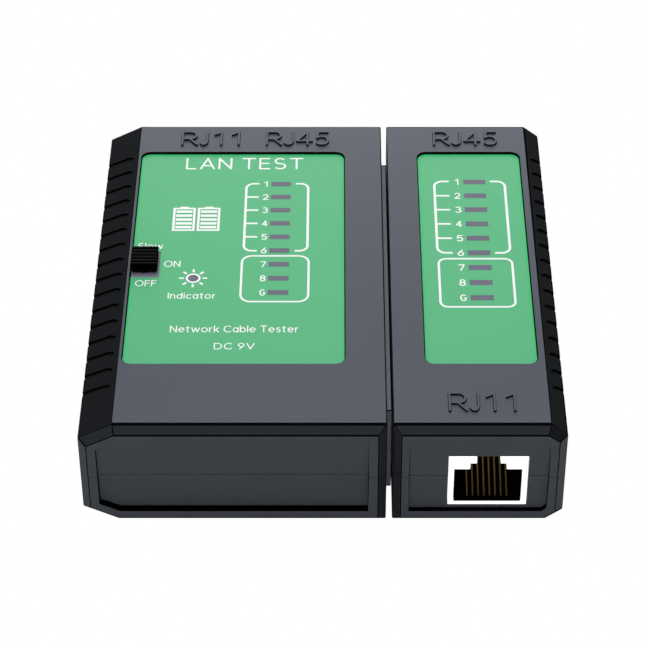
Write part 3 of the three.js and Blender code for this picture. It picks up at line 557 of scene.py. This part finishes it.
def make_piece(name, parts, body, finishes, paint=None):
    """One object of several closed parts, each a pair of points in mm and face arrays."""
    points, faces, offset = [], [], 0
    for part_points, part_faces in parts:
        points.append(part_points)
        for block in part_faces:
            faces += (block + offset).tolist()
        offset += len(part_points)
    mesh = bpy.data.meshes.new(name)
    mesh.from_pydata((np.concatenate(points) * MM).tolist(), [], faces)
    work = bmesh.new()
    work.from_mesh(mesh)
    bmesh.ops.remove_doubles(work, verts=work.verts, dist=0.0005 * MM)
    work.to_mesh(mesh)
    work.free()
    for finish in finishes:
        mesh.materials.append(FINISH[finish])
    if paint:
        index = paint(read(mesh.polygons, "center", 3) / MM, read(mesh.polygons, "normal", 3))
        mesh.polygons.foreach_set("material_index", index.astype(np.int32))
    piece = bpy.data.objects.new(name, mesh)
    bpy.context.scene.collection.objects.link(piece)
    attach(piece, body)
    return piece


# %% [markdown]
# ## Printed lines
# The brackets tie the eight wires of a cable to the eight lights and set the shield light apart. They are
# screen printed, so they stand a few hundredths of a millimetre above the sheet.

# %% Line print
INK = 0.02
UP = (0.0, 0.0, 1.0)


def strip(path, width, closed=False):
    """A flat line of ink along a path of x, y pairs."""
    path = np.column_stack([path, np.full(len(path), LABEL_TOP)])
    half = width / 2
    return carried(path, [(-half, 0), (half, 0), (half, INK), (-half, INK)], UP, closed)


def bar(x0, x1, y, width):
    return strip(np.array([(x0, y), (x1, y)]), width)


def bracket(left, right, top, bottom, arm_end, arm_start, rows, width, radius):
    """A pair of facing brackets with a tick for each row between the first and the last."""
    left_path = rounded_path([(arm_end, top), (left, top), (left, bottom), (arm_end, bottom)], radius)
    right_path = rounded_path(
        [(arm_start, top), (right, top), (right, bottom), (arm_start, bottom)], radius
    )
    ticks = [bar(left + width / 2, arm_end, y, width) for y in rows]
    return [strip(left_path, width), strip(right_path, width), *ticks]


def frame_box(left, right, top, bottom, width, radius):
    path = rounded_path([(left, bottom), (right, bottom), (right, top), (left, top)], radius, closed=True)
    return [strip(path, width, closed=True)]


MAIN_ROWS = 28.2 - 4.56 * np.arange(9)
REMOTE_ROWS = 28.95 - 4.865 * np.arange(9)
main_lines = bracket(-16.67, -3.43, 28.34, 5.3, -13.96, -6.1, MAIN_ROWS[1:5], 0.5, 1.65)
main_lines += frame_box(-16.92, -3.12, 3.6, -11.2, 0.46, 2.1)
remote_lines = bracket(23.63, 38.75, 29.16, 4.6, 26.78, 35.6, REMOTE_ROWS[1:5], 0.52, 1.75)
remote_lines += frame_box(23.75, 38.95, 2.66, -12.86, 0.48, 1.6)


# %% [markdown]
# The battery sign is two blocks with five bars each, and the sun sign beside it names the power light.


# %% Battery and sun signs
CELL_ROWS = (18.55, 17.17, 15.83, 14.52, 13.22)


def battery_sign(left, right, top, bottom, line=0.5, margin=0.68, cell=0.8, cap=(1.8, 0.34)):
    """A box of lines with a bar `cell` tall in each row, and a terminal, `cap` wide and tall, on top."""
    sides = [bar(left, right, y, line) for y in (bottom + line / 2, top - line / 2)]
    for x in (left + line / 2, right - line / 2):
        sides.append(strip(np.array([(x, bottom + line), (x, top - line)]), line))
    cells = [bar(left + margin, right - margin, y, cell) for y in CELL_ROWS]
    middle = (left + right) / 2
    terminal = bar(middle - cap[0] / 2, middle + cap[0] / 2, top + cap[1] / 2, cap[1])
    return [*sides, *cells, terminal]


def sun_sign(x, y, ring, ring_width, inner, outer, width):
    """A ring with eight rays."""
    turn = np.linspace(0, 2 * pi, 33)[:-1]
    circle = np.column_stack([x + ring * np.cos(turn), y + ring * np.sin(turn)])
    rays = []
    for angle in np.arange(8) * pi / 4:
        way = np.array([cos(angle), sin(angle)])
        rays.append(strip(np.array([x, y]) + np.outer([inner, outer], way), width))
    return [strip(circle, ring_width, closed=True), *rays]


main_lines += battery_sign(-31.95, -27.2, 19.88, 11.97) + battery_sign(-26.75, -21.98, 19.88, 11.97)
INDICATOR = (-26.76, -3.7)
main_lines += sun_sign(*INDICATOR, 1.3, 0.42, 1.95, 2.9, 0.45)
print("lines:", len(main_lines), "on the main label,", len(remote_lines), "on the remote label")

# %% [markdown]
# Over every light the label has a tinted window, and round its edge the green is laid a little thicker.


# %% Window films and printed lines
def disc(x, y, radius):
    """A flat disc of ink."""
    turn = np.arange(20) * pi / 10
    edge = np.column_stack([x + radius * np.cos(turn), y + radius * np.sin(turn)])
    return carried([(0, 0, LABEL_TOP), (0, 0, LABEL_TOP + INK)], edge, (0.0, 1.0, 0.0))


films = [bar(-11.39, -7.17, y, 1.53) for y in MAIN_ROWS] + [disc(*INDICATOR, 1.07)]
make_piece("main_window_films", films, "main_unit", ["window"])
films = [bar(29.88, 34.62, y, 1.62) for y in REMOTE_ROWS]
make_piece("remote_window_films", films, "remote_unit", ["window"])
make_piece("main_printed_lines", main_lines, "main_unit", ["ink"])
make_piece("remote_printed_lines", remote_lines, "remote_unit", ["ink"])
print("window films and lines laid")

# %% The rims of the labels
RIM = {"inset": 0.26, "width": 0.38, "radius": 1.65}
SWITCH_NOTCH = (-3.45, 4.95)
for unit, (low, high) in LABEL_X.items():
    left, right = low + RIM["inset"], high - RIM["inset"]
    bottom, top = LABEL_Y[0] + RIM["inset"], LABEL_Y[1] - RIM["inset"]
    corners = [(left, bottom), (right, bottom), (right, top), (left, top)]
    closed = unit != "main"
    if not closed:
        # the rim stops on both sides of the notch for the switch
        corners = [(left, SWITCH_NOTCH[0]), *corners, (left, SWITCH_NOTCH[1])]
    rim = strip(rounded_path(corners, RIM["radius"], closed=closed), RIM["width"], closed)
    make_piece(unit + "_label_rim", [rim], unit + "_unit", ["overlay_rim"])
print("label rims laid")

# %% [markdown]
# ## An alphabet of strokes
# The print is a light, wide sans serif whose every line has the same width, so it is drawn as with a pen
# rather than set in a font. Each letter is a short recipe on a square of cap height 1: M lifts the pen to
# a point, L draws a straight line, and A draws part of an ellipse from its middle, its two radii and two
# angles. A straight stroke becomes a capsule, whose round ends also fill the corners, and an arc is
# carried like the brackets.

# %% Letter recipes: width, then strokes
LETTERS = {
    "A": (0.84, "M0 0 L.42 1 L.84 0 M.13 .3 L.71 .3"),
    "C": (0.88, "A.5 .5 .5 .5 42 318"),
    "D": (0.84, "M.34 1 L0 1 L0 0 L.34 0 A.34 .5 .5 .5 -90 90"),
    "E": (0.6, "M.6 1 L0 1 L0 0 L.6 0 M0 .52 L.54 .52"),
    "F": (0.6, "M.6 1 L0 1 L0 0 M0 .5 L.54 .5"),
    "G": (0.95, "A.5 .5 .5 .5 42 325 L.95 .46 L.62 .46"),
    "I": (0.0, "M0 0 L0 1"),
    "J": (0.52, "M.52 1 L.52 .28 A.25 .28 .27 .28 0 -155"),
    "L": (0.56, "M0 1 L0 0 L.56 0"),
    "N": (0.76, "M0 0 L0 1 L.76 0 L.76 1"),
    "O": (1.06, "A.53 .5 .53 .5 0 360"),
    "R": (0.7, "M0 0 L0 1 L.38 1 A.38 .72 .28 .28 90 -90 L0 .44 M.34 .44 L.7 0"),
    "S": (0.68, "A.34 .75 .3 .25 35 270 A.34 .25 .33 .25 90 -150"),
    "T": (0.76, "M0 1 L.76 1 M.38 1 L.38 0"),
    "V": (0.86, "M0 1 L.43 0 L.86 1"),
    "a": (0.6, "A.3 .35 .3 .35 0 360 M.6 .7 L.6 0"),
    "b": (0.64, "M0 1 L0 0 M.02 .35 A.33 .35 .31 .35 180 -180"),
    "c": (0.6, "A.34 .35 .34 .35 42 318"),
    "d": (0.64, "A.31 .35 .31 .35 0 360 M.64 1 L.64 0"),
    "e": (0.67, "M.02 .36 L.67 .36 A.34 .35 .33 .35 0 315"),
    "i": (0.0, "M0 0 L0 .7 M0 .95 L0 1"),
    "k": (0.54, "M0 0 L0 1 M.5 .7 L0 .2 M.19 .4 L.54 0"),
    "l": (0.0, "M0 0 L0 1"),
    "n": (0.58, "M0 0 L0 .7 M0 .4 A.29 .4 .29 .3 180 0 L.58 0"),
    "o": (0.7, "A.35 .35 .35 .35 0 360"),
    "r": (0.32, "M0 0 L0 .7 M0 .38 A.32 .38 .32 .32 180 92"),
    "s": (0.48, "A.24 .53 .21 .17 35 270 A.24 .18 .23 .18 90 -150"),
    "t": (0.4, "M.16 .92 L.16 .17 A.33 .17 .17 .17 180 285 M0 .7 L.38 .7"),
    "w": (1.0, "M0 .7 L.25 0 L.5 .66 L.75 0 L1 .7"),
    "1": (0.34, "M.02 .8 L.34 1 L.34 0"),
    "2": (0.64, "A.32 .7 .3 .3 165 -38 L.02 0 L.64 0"),
    "3": (0.64, "A.32 .75 .27 .25 150 -90 A.32 .26 .31 .26 90 -150"),
    "4": (0.76, "M.54 0 L.54 1 L0 .28 L.76 .28"),
    "5": (0.64, "M.6 1 L.12 1 L.07 .52 A.31 .31 .32 .32 138 -148"),
    "6": (0.64, "A.32 .31 .31 .31 0 360 M.5 1 L.05 .46"),
    "7": (0.62, "M0 1 L.62 1 L.2 0"),
    "8": (0.64, "A.32 .76 .26 .24 0 360 A.32 .26 .31 .26 90 450"),
    "9": (0.64, "A.32 .69 .31 .31 0 360 M.14 0 L.59 .54"),
}
SPACE = 0.42


# %% Strokes to solids
def strokes_of(recipe):
    """Reads a recipe into strokes: two points for a straight one, and a row of points on the ellipse
    (cx + rx cos t, cy + ry sin t) for an arc."""
    strokes, pen = [], None
    for word in recipe.replace("M", "|M").replace("L", "|L").replace("A", "|A").split("|")[1:]:
        kind, numbers = word[0], [float(n) for n in word[1:].split()]
        if kind == "A":
            cx, cy, rx, ry, start, end = numbers
            turn = np.radians(np.linspace(start, end, 4 + int(abs(end - start) / 18)))
            stroke = np.column_stack([cx + rx * np.cos(turn), cy + ry * np.sin(turn)])
            strokes.append(stroke)
            pen = stroke[-1]
        else:
            if kind == "L":
                strokes.append(np.array([pen, numbers]))
            pen = np.array(numbers)
    return strokes


def capsule(a, b, width, low, high, draft=0.0):
    """A straight stroke with half round ends from `low` to `high`, wider by `draft` all round at its
    foot."""
    heading = np.arctan2(*(b - a)[::-1])
    turn = np.linspace(-pi / 2, pi / 2, 6) + heading
    arc = np.column_stack([np.cos(turn), np.sin(turn)])
    foot, top = (np.concatenate([b + r * arc, a - r * arc]) for r in (width / 2 + draft, width / 2))
    points, faces = carried([(0, 0, low), (0, 0, high)], foot, (0.0, 1.0, 0.0))
    points[len(foot):, :2] = top
    return points, faces


LIFT = 0.0004


def lettering(text, box, low, high, width, gap=0.3, draft=0.0):
    """The text in strokes `width` wide, stretched so that its ink just fills box = (x0, x1, y0, y1).
    Each stroke stands LIFT higher than the last, so no two tops lie in one plane."""
    strokes, at = [], 0.0
    for letter in text:
        if letter == " ":
            at += SPACE
            continue
        wide, recipe = LETTERS[letter]
        strokes += [stroke + (at, 0) for stroke in strokes_of(recipe)]
        at += wide + gap
    every = np.concatenate(strokes)
    start, size = every.min(0), every.max(0) - every.min(0)
    corner = np.array([box[0], box[2]]) + width / 2
    room = np.array([box[1] - box[0], box[3] - box[2]]) - width
    scale = room / np.where(size > 0, size, 1)
    parts, half = [], width / 2
    for k, stroke in enumerate(strokes):
        path = corner + (stroke - start) * scale
        top = high + k % 50 * LIFT
        if len(path) == 2:
            parts.append(capsule(path[0], path[1], width, low, top, draft))
            continue
        closed = np.allclose(path[0], path[-1])
        path = path[:-1] if closed else path
        ring = np.column_stack([path, np.full(len(path), low)])
        profile = [(-half - draft, 0), (half + draft, 0), (half, top - low), (-half, top - low)]
        parts.append(carried(ring, profile, UP, closed))
    return parts


# %% [markdown]
# ## Printed and raised words
# The words on the labels are white ink. The words on the case are cut into the mould, so they stand up
# from the plastic. Their walls are painted darker as their shade, so that the thin strokes can be read.


# %% Printed words
def printed(text, x0, x1, y0, y1, width=0.23, gap=0.3):
    return lettering(text, (x0, x1, y0, y1), LABEL_TOP, LABEL_TOP + INK, width, gap)


def digits(rows, x, wide, tall, width):
    """The names of the nine lights, one beside each row."""
    parts = []
    for text, y in zip("12345678G", rows):
        half = (0.6 if text == "1" else 1) * wide / 2
        parts += printed(text, x - half, x + half, y - tall / 2, y + tall / 2, width)
    return parts


main_words = [
    *printed("LAN TEST", -29.99, -4.53, 33.5, 37.58, 0.42, 0.34),
    *printed("Network Cable Tester", -30.72, -4.95, -20.8, -18.7, 0.23, 0.3),
    *printed("DC 9V", -21.74, -13.61, -26.0, -24.02, 0.24, 0.34),
    *printed("Indicator", -31.7, -21.95, -10.3, -8.3, 0.23, 0.32),
    *printed("ON", -33.0, -29.62, -0.05, 1.99),
    *printed("OFF", -38.6, -34.2, -6.32, -4.35),
    *printed("Slow", -38.7, -33.46, 5.86, 7.86),
    *digits(MAIN_ROWS, -12.5, 1.22, 1.95, 0.27),
]
make_piece("main_printed_words", main_words, "main_unit", ["ink"])
make_piece("remote_printed_words", digits(REMOTE_ROWS, 28.45, 1.35, 2.1, 0.29), "remote_unit", ["ink"])


# %% Raised words
def raised_faces(centre, normal):
    """1 for the side walls of the strokes."""
    return (np.abs(normal[:, 2]) < 0.5).astype(int)


RAISED = 0.4
STROKE = 0.42
DRAFT = 0.1     # the walls lean so that the moulding leaves its mould
# where each letter starts and ends, as a share of the word
LETTER_SPANS = {
    "RJ11": ((0, 0.285), (0.31, 0.46), (0.56, 0.7), (0.86, 1)),
    "RJ45": ((0, 0.26), (0.28, 0.44), (0.477, 0.743), (0.79, 1)),
}


def raised(text, x0, x1, y0, y1):
    parts = []
    for letter, (start, end) in zip(text, LETTER_SPANS[text]):
        span = (x0 + start * (x1 - x0), x0 + end * (x1 - x0), y0, y1)
        parts += lettering(letter, span, HEIGHT, HEIGHT + RAISED, STROKE, draft=DRAFT)
    return parts


main_raised = raised("RJ11", -31.32, -18.56, 41.25, 46.25) + raised("RJ45", -12.8, 0.95, 41.25, 46.25)
remote_raised = raised("RJ45", 23.77, 37.77, 41.25, 46.3) + raised("RJ11", 24.3, 37.3, -45.0, -39.7)
for unit, words in (("main", main_raised), ("remote", remote_raised)):
    finishes = ["case", "case_wall"]
    make_piece(f"{unit}_raised_words", words, f"{unit}_unit", finishes, raised_faces)
print("words:", len(main_words), "printed strokes and", len(main_raised), "raised ones on the main unit")

# %% [markdown]
# ## The switch knob
# The thumb pushes on five ridges across the top of the knob. Its side view is drawn once as an outline in
# y and z and carried across the knob's width, and the crests are painted a little paler, as a highlight.

# %% Knob
KNOB = {"x": -36.86, "y": 1.15, "width": 5.25, "length": 5.7, "low": 24.85, "high": 27.1}
STEM = {"width": 1.3, "length": 2.6, "low": 21.2}
RIDGES = 5
RIDGE_DEPTH = 0.42


def knob_outline():
    """Side view as (y, z): an upright front and back with broken corners, and between them the ridges,
    high - depth (1 - cos(2 pi n t)) / 2 for t from 0 to 1."""
    y0, y1 = KNOB["y"] - KNOB["length"] / 2, KNOB["y"] + KNOB["length"] / 2
    y = np.linspace(y0 + 0.25, y1 - 0.2, RIDGES * 12 + 1)
    depth = RIDGE_DEPTH * (0.5 - 0.5 * np.cos(2 * pi * RIDGES * (y - y[0]) / (y[-1] - y[0])))
    crest = np.column_stack([y, KNOB["high"] - depth])
    front = [(y0, KNOB["low"]), (y0, KNOB["high"] - 0.2), (y0 + 0.08, KNOB["high"] - 0.06)]
    back = [(y1 - 0.06, KNOB["high"] - 0.06), (y1, KNOB["high"] - 0.2), (y1, KNOB["low"])]
    return np.concatenate([front, crest, back])


def swept_x(outline, x0, x1):
    """An outline in y and z carried from x0 to x1."""
    path = np.array([(x0, 0, 0), (x1, 0, 0)], float)
    return carried(path, outline, UP)


def knob_faces(centre, normal):
    """1 for the crests of the ridges."""
    return ((normal[:, 2] > 0.5) & (centre[:, 2] > KNOB["high"] - 0.2)).astype(int)


half_knob = KNOB["width"] / 2
half_stem = STEM["length"] / 2
stem_side = np.array([
    (KNOB["y"] - half_stem, STEM["low"]), (KNOB["y"] + half_stem, STEM["low"]),
    (KNOB["y"] + half_stem, KNOB["low"]), (KNOB["y"] - half_stem, KNOB["low"]),
])
knob = make_piece(
    "ridged_switch_knob",
    [
        swept_x(knob_outline(), KNOB["x"] - half_knob, KNOB["x"] + half_knob),
        swept_x(stem_side, KNOB["x"] - STEM["width"] / 2, KNOB["x"] + STEM["width"] / 2),
    ],
    "power_knob", ["knob", "knob_crest"], knob_faces,
)
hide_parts("switch_knob")
print("knob with", RIDGES, "ridges")

# %% [markdown]
# ## Sockets
# Each socket is a white housing with a black liner, and a row of gold-plated spring wires that start low
# at the mouth and rise towards the back. The CAD has the wires as one comb; here each is its own wire,
# bent over at the front, and the comb is replaced.

# %% Sockets
JACK_FACE = 49.2
MOUTH_DEPTH = 15.0
# for each socket: its body, the middle of its wires, the end it faces (1 is the back), how many wires
# it has, and the height of its floor
JACKS = {
    "main_rj45": ("main_unit", -5.9, 1, 8, 5.3),
    "main_rj11": ("main_unit", -24.9, 1, 6, 6.1),
    "remote_rear": ("remote_unit", 32.15, 1, 8, 5.3),
    "remote_front": ("remote_unit", 32.15, -1, 8, 5.3),
}
PITCH = 1.12
SPRING = {"radius": 0.25, "start": 0.6, "length": MOUTH_DEPTH - 1.4, "foot": 0.62, "rise": 3.68}
SPRING_HOOK = ((1.15, 0.4), (0.55, 0.4))


def spring_wire(x, end, low):
    """A round wire in the y-z plane: a tight bend near the floor at the mouth, then a rise to the back,
    z = foot + rise sin(t pi / 2) ^ 1.2 for t from 0 to 1."""
    t = np.linspace(0, 1, 14)
    y = SPRING["start"] + t * SPRING["length"]
    z = SPRING["foot"] + SPRING["rise"] * np.sin(t * pi / 2) ** 1.2
    side = np.concatenate([SPRING_HOOK, np.column_stack([y, z])]) + (-JACK_FACE, low)
    path = np.column_stack([np.full(len(side), x), side[:, 0] * -end, side[:, 1]])
    turn = np.arange(8) * pi / 4
    circle = np.column_stack([np.cos(turn), np.sin(turn)])
    return carried(path, SPRING["radius"] * circle, (1.0, 0.0, 0.0))


for jack, (body, x, end, wires, low) in JACKS.items():
    places = x + (np.arange(wires) - (wires - 1) / 2) * PITCH
    comb = [spring_wire(place, end, low) for place in places]
    piece = make_piece(jack + "_spring_wires", comb, body, ["gold"])
    piece.data.shade_smooth()
    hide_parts(jack + "_jack_contacts")
    softened(jack + "_jack_housing", body, ["socket", "socket"], all_sharp, radius=0.12)
    softened(jack + "_jack_insert", body, ["liner", "liner"], all_sharp, radius=0.08)
print(len(JACKS), "sockets")

# %% [markdown]
# ## Underneath and inside
# The battery door, the screws, the battery with its snap pad and leads, the boards and the chips keep the
# CAD's shapes. They get rounded edges where the real part has them, and their own finishes.

# %% Door, screws and the parts inside
# the door's rounded edges take case_edge, the painted dark reflection
softened("battery_door", "door", ["case", "case_edge"], all_sharp, radius=0.2)
for unit, count in (("main", 4), ("remote", 2)):
    for n in range(1, count + 1):
        screw = f"{unit}_case_screw_{n}"
        softened(screw, f"{unit}_unit", ["steel", "steel"], all_sharp, radius=0.06)
softened("battery", "main_unit", ["jacket", "jacket"], all_sharp, radius=0.3)
softened("battery_snap_connector", "main_unit", ["snap", "snap"], all_sharp, radius=0.3)
PLAIN = {
    "battery_lead_red": "red_lead",
    "battery_lead_black": "black_lead",
    "main_circuit_board": "board",
    "remote_circuit_board": "board",
    "counter_chip": "chip",
    "timer_chip": "chip",
}
for node, finish in PLAIN.items():
    refinished(node, finish)
print("inner parts finished")
